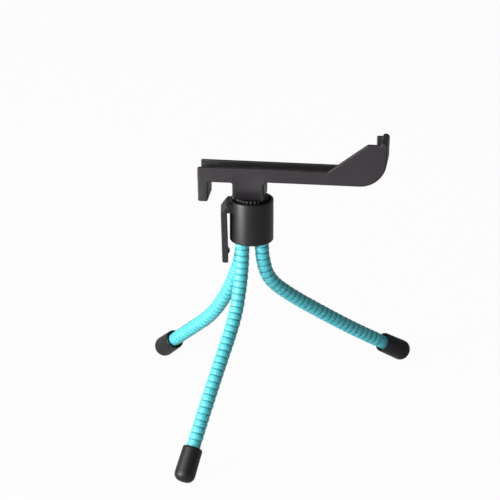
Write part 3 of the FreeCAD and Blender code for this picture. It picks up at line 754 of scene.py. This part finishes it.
class LegLine:
    # a leg's centre line in its upright plane: between the middles of two runs it is the parabola that
    # is tangent to both, so position and slope are functions of the length along it
    def __init__(self, leg):
        heading = math.radians(leg["heading"])
        self.exit = np.array([*leg["exit"], 0])
        self.mark = math.radians(leg["mark"])
        self.ahead = np.array([math.cos(heading), math.sin(heading), 0])
        self.side = np.cross(upward, self.ahead)
        slopes = np.radians(leg["slopes"])
        runs = np.array(sheath["runs"])[:, None] * np.stack([np.sin(slopes), -np.cos(slopes)], 1)
        corners = np.vstack([[[0, 0]], np.cumsum(runs, 0)])
        middles = (corners[:-1] + corners[1:]) / 2
        share = np.linspace(0, 1, sheath["bendPoints"])[:, None]
        arcs = [(1 - share) ** 2 * before + 2 * share * (1 - share) * corner + share ** 2 * after
                for before, corner, after in zip(middles[:-1], corners[1:-1], middles[1:])]
        self.path = np.vstack([[[0, sheath["lead"]], [0, 0]], middles[:1], *[arc[1:] for arc in arcs],
                               corners[-1:]])
        steps = np.diff(self.path, axis=0)
        self.reach = np.concatenate([[0], np.cumsum(np.hypot(*steps.T))]) - sheath["lead"]
        self.middle = (self.reach[:-1] + self.reach[1:]) / 2
        self.slope = np.arctan2(steps[:, 0], -steps[:, 1])
        self.end = self.reach[-1]
        self.bends = self.reachOf(corners[1:-1])
        self.halves = self.reachOf(middles)

    def reachOf(self, places):
        # the length along the line at its nearest point to each place
        return self.reach[[np.argmin(np.hypot(*(self.path - place).T)) for place in places]]

    def at(self, reach):
        # centre, direction, and the two directions across, at each length along the leg
        ahead = np.interp(reach, self.reach, self.path[:, 0])[..., None]
        height = np.interp(reach, self.reach, self.path[:, 1])[..., None]
        slope = np.interp(reach, self.middle, self.slope)[..., None]
        along = np.sin(slope) * self.ahead - np.cos(slope) * upward
        side = np.broadcast_to(self.side, along.shape)
        return self.exit + ahead * self.ahead + height * upward, along, np.cross(side, along), side

    def around(self, reach, angle, radius):
        # the tube's points: centre + radius * (cos * under + sin * side)
        centre, along, under, side = self.at(reach + 0 * angle)
        out = np.cos(angle)[:, None] * under + np.sin(angle)[:, None] * side
        return centre + np.asarray(radius)[..., None] * out

    def point(self, reach):
        # centre and direction at one length
        centre, along, under, side = self.at(np.array([float(reach)]))
        return centre[0], along[0]


def sheathRings(line, low, high):
    # row v and angle a lie at length pitch * v along the leg, at the radius that one ring's profile gives
    # for the fraction of v; the last stretch before the foot is a smooth band with one punched mark, which
    # is at its full depth within half its size and fades out at one and a half times that size
    s = sheath
    profile = np.array(s["ring"])
    pitch = s["pitch"] * line.end / sum(s["runs"])
    first, last = math.floor(low / pitch) - 1, math.ceil(high / pitch) + 1
    value = (np.arange(first, last)[:, None] + profile[:, 0]).ravel()
    angle = fullTurn(s["columns"])
    reach = pitch * value[:, None] + 0 * angle
    ribbed = (np.tile(profile[:, 1], last - first) + s["uneven"] * np.sin(value * s["unevenRate"]))[:, None]
    band = np.clip((reach - line.end + s["bandStart"]) / s["bandEase"], 0, 1)
    radius = ribbed + (s["bandRadius"] - ribbed) * band
    away = np.remainder(angle - line.mark + math.pi, 2 * math.pi) - math.pi
    distance = np.hypot(reach - line.end + s["markReach"], s["bandRadius"] * away)
    mark = np.clip(1.5 - distance / s["markSize"], 0, 1)
    # the mask that paints shade into the grooves and the punched mark
    groove = np.maximum(np.clip((s["grooveTop"] - radius) / s["grooveDepth"], 0, 1), mark)
    points = line.around(reach, angle, radius - s["markDepth"] * mark)
    around = s["around"] / (2 * math.pi) * (angle + 0 * reach)
    coordinates = np.stack([around, reach / pitch], -1).reshape(-1, 2)
    return points.reshape(-1, 3), gridFaces(*reach.shape), groove.ravel(), coordinates


def sheathPiece(name, line, low, high):
    # the rings cut square to the line at both ends, with a smooth bore inside and a flat rim at each end
    points, faces, groove, coordinates = sheathRings(line, low, high)
    mesh = newMesh(name, points, faces.tolist())
    # the mask goes to the enamel, where it paints shade into the grooves and the punched mark
    mesh.attributes.new("groove", "FLOAT", "POINT").data.foreach_set("value", groove.astype(np.float32))
    corners = coordinates[faces]
    beyond = corners[:, 1:3, 0] < corners[:, :1, 0] - 1  # where a face closes the turn
    corners[:, 1:3, 0] += beyond * sheath["around"]
    mesh.uv_layers.new(name="alongLeg").data.foreach_set("uv", corners.astype(np.float32).ravel())
    rows = np.linspace(low, high, max(3, int((high - low) / sheath["boreStep"])))
    columns = sheath["boreColumns"]
    inside = fromHead(line.around(rows[:, None], fullTurn(columns), sheath["bore"]))

    with editing(mesh) as work:
        for reach, drop in ((low, "clear_inner"), (high, "clear_outer")):
            centre, along = line.point(reach)
            geometry = work.verts[:] + work.edges[:] + work.faces[:]
            bmesh.ops.bisect_plane(work, geom=geometry, dist=1e-8, plane_co=fromHead(centre),
                                   plane_no=along @ headAxes, **{drop: True})
        outer = [edge for edge in work.edges if edge.is_boundary]
        bore = [[work.verts.new(point) for point in points] for points in inside]
        for near, far in zip(bore[:-1], bore[1:]):
            for j in range(columns):
                work.faces.new((near[(j + 1) % columns], near[j], far[j], far[(j + 1) % columns]))
        for face in work.faces:
            face.smooth = True
        for reach, row in ((low, bore[0]), (high, bore[-1])):
            middle = Vector(fromHead(line.point(reach)[0]))
            rim = [edge for edge in outer if (edge.verts[0].co - middle).length < sheath["rimReach"] * mm]
            rim += [work.edges.get((row[j], row[(j + 1) % columns])) for j in range(columns)]
            bmesh.ops.bridge_loops(work, edges=rim)
            for edge in rim:
                edge.smooth = False
        bmesh.ops.recalc_face_normals(work, faces=work.faces)
    return newPiece(name, mesh, "TurquoiseEnamel")


def wirePiece(name, line, low, high):
    # a round wire along the line, closed at both ends by a row of radius 0
    reach = np.linspace(low, high, max(4, int((high - low) / wire["step"])))
    reach = np.concatenate([[low], reach, [high]])
    radius = np.full(len(reach), wire["radius"])
    radius[[0, -1]] = 0
    mesh = gridMesh(name, line.around(reach[:, None], fullTurn(wire["columns"]), radius[:, None]))
    creaseAt(mesh, 40)
    return newPiece(name, mesh, "CoreWire")


def zoneOf(line, bend, low, high):
    # the two ends, in the scene, of a stretch round a piece's bend that keeps clear of both of the piece's ends
    half = min(line.bends[bend] - low, high - line.bends[bend]) - sheath["zoneMargin"]
    return [tuple(fromHead(line.point(line.bends[bend] + side * half)[0])) for side in (-1, 1)]


foot = {
    "radius": 4.28, "neck": 4.1, "length": 14.4, "dome": 3.2, "bore": 2.97, "wall": 3.2, "shoulder": 1.1,
    "lip": 3.65, "lipRound": (0.05, 0.04), "flare": 1.3, "domeGap": 0.5, "columns": 72,
}


def footProfile():
    # from the tip on the axis, round the dome, up the tapered side, over the shoulder and down the bore
    f = foot
    flat = f["radius"] - f["dome"]
    dome = np.radians(np.linspace(0, 90, 16))
    rows = [(0, 0), (flat / 2, 0)]
    rows += list(zip(flat + f["dome"] * np.sin(dome), f["dome"] * (1 - np.cos(dome))))
    side = np.linspace(f["dome"] + f["domeGap"], f["length"] - f["shoulder"], 8)
    rows += list(zip(np.interp(side, [f["dome"], side[-1]], [f["radius"], f["neck"]]), side))
    lean = np.radians(np.linspace(0, 90, 12))[1:]
    rows += list(zip(f["lip"] + (f["neck"] - f["lip"]) * np.cos(lean),
                     f["length"] - f["shoulder"] * (1 - np.sin(lean))))
    rows += [(f["lip"] - f["lipRound"][0], f["length"] - f["lipRound"][1])]
    rows += [(f["bore"], z) for z in np.linspace(f["length"] - f["flare"], f["wall"], 5)]
    return rows + [(0, f["wall"])]


def makeLeg(key, leg):
    # for each of the five bends, a stretch of sheath and one of wire round it; then the foot
    line = LegLine(leg)
    bodies = ["%s_leg_%d" % (key, number) for number in range(1, 7)]
    cuts = [0.0, *line.halves[1:5], line.end - sheath["end"]]
    for bend in range(5):
        low, high = cuts[bend], cuts[bend + 1]
        wireLow = low - wire["top"] if bend == 0 else low
        covering = sheathPiece("%s_sheath_bend_%d" % (key, bend + 1), line, low, high)
        core = wirePiece("%s_wire_bend_%d" % (key, bend + 1), line, wireLow, high)
        start, end = zoneOf(line, bend, low, high)
        for piece in (covering, core):
            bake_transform(piece)
        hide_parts("%s_sheath_%d" % (key, bend + 2))
        if bend == 0:
            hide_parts(key + "_sheath_1")
            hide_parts(key + "_core_wire")
    tip, along = line.point(line.end)
    mesh = turnedMesh(key + "_foot_rubber", footProfile(), tip, -along, line.side, foot["columns"])
    creaseAt(mesh, 50)
    rubber = newPiece(key + "_foot_rubber", mesh, "FootRubber")
    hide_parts(key + "_foot")
    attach(rubber, bodies[5])
    print(key, "leg made,", round(line.end, 2), "mm along its line")


for key, leg in legs.items():
    makeLeg(key, leg)


# Camera, floor, sky and lamps: the camera's lengths are millimetres in the head's frame, the lamps' metres.
view = {
    "turn": 7.034, "drop": 21.99, "placeTurn": 7, "placeRise": 21, "distance": 1210, "rim": 17.6,
    "lens": 216, "sensor": 36, "nearest": 0.05, "farthest": 20,
}
stage = {
    "half": 6, "floor": (0.45, 0.45, 0.45), "floorRough": 0.9, "white": (1, 1, 1),
    "floorSeen": 0.965, "floorMirrored": 0.25, "skyLight": 0.2, "skySeen": 1.0,
}
lamps = {
    "KeyLamp": {"place": (-0.413, -0.336, 0.118), "aim": 0.09, "power": 5.2, "size": (0.28, 0.336)},
    "SideLamp": {"place": (-0.5, 0.18, 0.2), "aim": 0.08, "power": 0.2, "size": (0.5, 0.4)},
    "FrontLamp": {"place": (-0.4, -0.8, 0.6), "aim": 0.05, "power": 5.5, "size": (0.5, 0.5)},
    "EdgeLamp": {"place": (-0.43, -0.17, 0.48), "aim": 0.11, "power": 1.6, "size": (0.2, 0.2)},
}


def headDirection(turn, rise):
    # from the head towards a viewer: (sin turn cos rise, -cos turn cos rise, sin rise)
    turn, rise = math.radians(turn), math.radians(rise)
    return np.array([math.sin(turn) * math.cos(rise), -math.cos(turn) * math.cos(rise), math.sin(rise)])


def placeCamera():
    # it stands at placeTurn and placeRise from the rim's middle, and looks against turn and drop
    v = view
    camera = addToScene("Camera", bpy.data.cameras.new("Camera"))
    camera.data.lens = v["lens"]
    camera.data.sensor_width = v["sensor"]
    camera.data.clip_start = v["nearest"]
    camera.data.clip_end = v["farthest"]
    place = v["rim"] * upward + v["distance"] * headDirection(v["placeTurn"], v["placeRise"])
    back = headDirection(v["turn"], v["drop"])
    right = headDirection(v["turn"] + 90, 0)
    matrix = Matrix.Identity(4)
    for column, axis in enumerate(np.array([right, np.cross(back, right), back]) @ headAxes):
        matrix.col[column][:3] = axis
    matrix.translation = fromHead(place)
    camera.matrix_world = matrix
    bpy.context.scene.camera = camera


def placeLamp(name, settings):
    # the lamp looks at the point aim metres above the floor's middle
    lamp = bpy.data.lights.new(name, "AREA")
    lamp.energy = settings["power"]
    lamp.shape = "RECTANGLE"
    lamp.size, lamp.size_y = settings["size"]
    place = Vector(settings["place"])
    turned = (place - Vector((0, 0, settings["aim"]))).to_track_quat("Z", "Y").to_matrix().to_4x4()
    addToScene(name, lamp).matrix_world = Matrix.Translation(place) @ turned


def makeFloor():
    # a pale floor that is nearly white where the camera or a reflection sees it, and keeps its shadows
    s, half = stage, stage["half"]
    mesh = bpy.data.meshes.new("Floor")
    corners = [(-half, -half, 0), (half, -half, 0), (half, half, 0), (-half, half, 0)]
    mesh.from_pydata(corners, [], [(0, 1, 2, 3)])
    addToScene("Floor", mesh)
    finish = Finish("FloorWhite", {"Base Color": colour(s["floor"]), "Roughness": s["floorRough"]})
    glow = finish.add("ShaderNodeEmission", {}, {"Color": colour(s["white"]), "Strength": 1.0})
    camera = finish.add("ShaderNodeLightPath", {}, {}, "Is Camera Ray")
    glossy = finish.add("ShaderNodeLightPath", {}, {}, "Is Glossy Ray")
    factor = camera * s["floorSeen"] + glossy * s["floorMirrored"]
    plain = Link(finish, finish.shader.outputs[0])
    mixed = finish.add("ShaderNodeMixShader", {}, {0: factor, 1: plain, 2: glow})
    finish.plug(finish.tree.nodes["Material Output"].inputs["Surface"], mixed)
    mesh.materials.append(finish.material)


def makeSky():
    # weak white light from all round, and plain white where the camera sees it
    world = bpy.data.worlds.new("Studio")
    bpy.context.scene.world = world
    world.use_nodes = True
    tree = world.node_tree
    sky = tree.nodes["Background"]
    rays = tree.nodes.new("ShaderNodeLightPath")
    seen = tree.nodes.new("ShaderNodeMix")
    seen.data_type = "FLOAT"
    seen.inputs[2].default_value = stage["skyLight"]
    seen.inputs[3].default_value = stage["skySeen"]
    tree.links.new(rays.outputs["Is Camera Ray"], seen.inputs[0])
    tree.links.new(seen.outputs[0], sky.inputs["Strength"])
    sky.inputs["Color"].default_value = colour(stage["white"])


makeFloor()
makeSky()
for name, settings in lamps.items():
    placeLamp(name, settings)
placeCamera()
bpy.context.scene.view_settings.view_transform = "Standard"
print("stage, lights and camera made")
